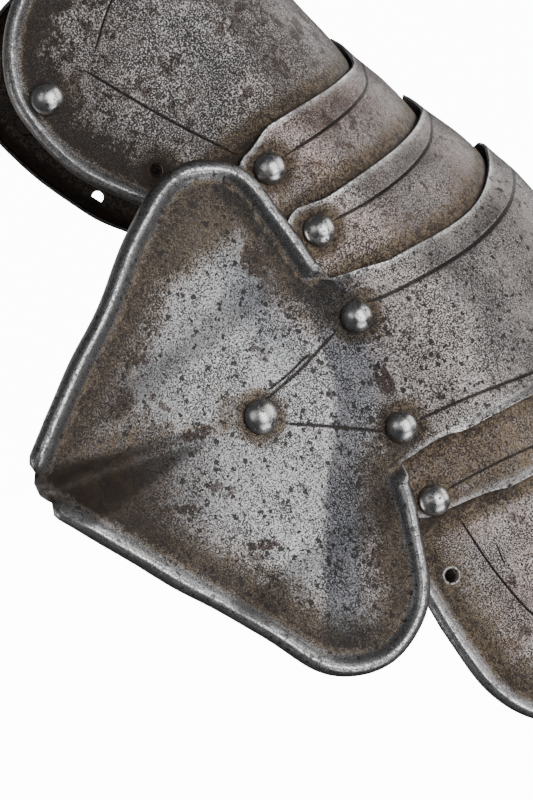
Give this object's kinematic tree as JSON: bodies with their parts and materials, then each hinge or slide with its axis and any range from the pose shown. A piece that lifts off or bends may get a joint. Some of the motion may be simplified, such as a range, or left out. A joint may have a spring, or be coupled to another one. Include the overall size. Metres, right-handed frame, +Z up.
{
  "type": "poleyn",
  "caption": "Steel knee armour for a right leg: nested lames on side rivets around a domed knee plate with a heart-shaped fluted side wing.",
  "frame": {"origin": "on the flat lower edge the poleyn stands on, at the middle of its front", "axes": "+Z up the leg from the shin to the thigh, -Y to the front of the knee, -X to the outer side of the leg, which carries the wing"},
  "size_m": [0.1523, 0.1818, 0.266],
  "materials": {
    "upper_plate_steel": "worn, pitted and rust-stained",
    "upper_lame_steel": "worn, pitted and rust-stained",
    "middle_lame_steel": "worn, pitted and rust-stained",
    "knee_cop_steel": "worn, pitted and rust-stained",
    "lower_lame_steel": "worn, pitted and rust-stained",
    "lower_plate_steel": "worn, pitted and rust-stained",
    "rivet_steel": "worn and filed"
  },
  "bodies": {
    "lower_plate": {"lower_plate": "lower_plate_steel"},
    "lower_lame": {"lower_lame": "lower_lame_steel", "shin_pivot_outer": "rivet_steel", "shin_pivot_inner": "rivet_steel"},
    "knee_cop": {"knee_cop": "knee_cop_steel", "cop_upper_pivot_outer": "rivet_steel", "cop_upper_pivot_inner": "rivet_steel", "cop_lower_pivot_outer": "rivet_steel", "cop_lower_pivot_inner": "rivet_steel", "wing_rivet": "rivet_steel"},
    "middle_lame": {"middle_lame": "middle_lame_steel", "upper_pivot_outer": "rivet_steel", "upper_pivot_inner": "rivet_steel"},
    "upper_lame": {"upper_lame": "upper_lame_steel", "thigh_pivot_outer": "rivet_steel", "thigh_pivot_inner": "rivet_steel"},
    "upper_plate": {"upper_plate": "upper_plate_steel", "strap_rivet_outer": "rivet_steel", "strap_rivet_inner": "rivet_steel"}
  },
  "joints": [
    {"name": "shin_hinge", "type": "hinge", "parent": "lower_plate", "child": "lower_lame", "pos_m": [0, 0.06694, 0.0762], "axis": [-1, 0, 0], "range_deg": [-2, 12]},
    {"name": "cop_lower_hinge", "type": "hinge", "parent": "lower_lame", "child": "knee_cop", "pos_m": [0, 0.06344, 0.0987], "axis": [-1, 0, 0], "range_deg": [-2, 10]},
    {"name": "cop_upper_hinge", "type": "hinge", "parent": "knee_cop", "child": "middle_lame", "pos_m": [0, 0.05664, 0.1313], "axis": [-1, 0, 0], "range_deg": [-2, 8]},
    {"name": "upper_hinge", "type": "hinge", "parent": "middle_lame", "child": "upper_lame", "pos_m": [0, 0.05144, 0.157], "axis": [-1, 0, 0], "range_deg": [-2, 12]},
    {"name": "thigh_hinge", "type": "hinge", "parent": "upper_lame", "child": "upper_plate", "pos_m": [0, 0.05294, 0.1788], "axis": [-1, 0, 0], "range_deg": [-2, 12]}
  ]
}
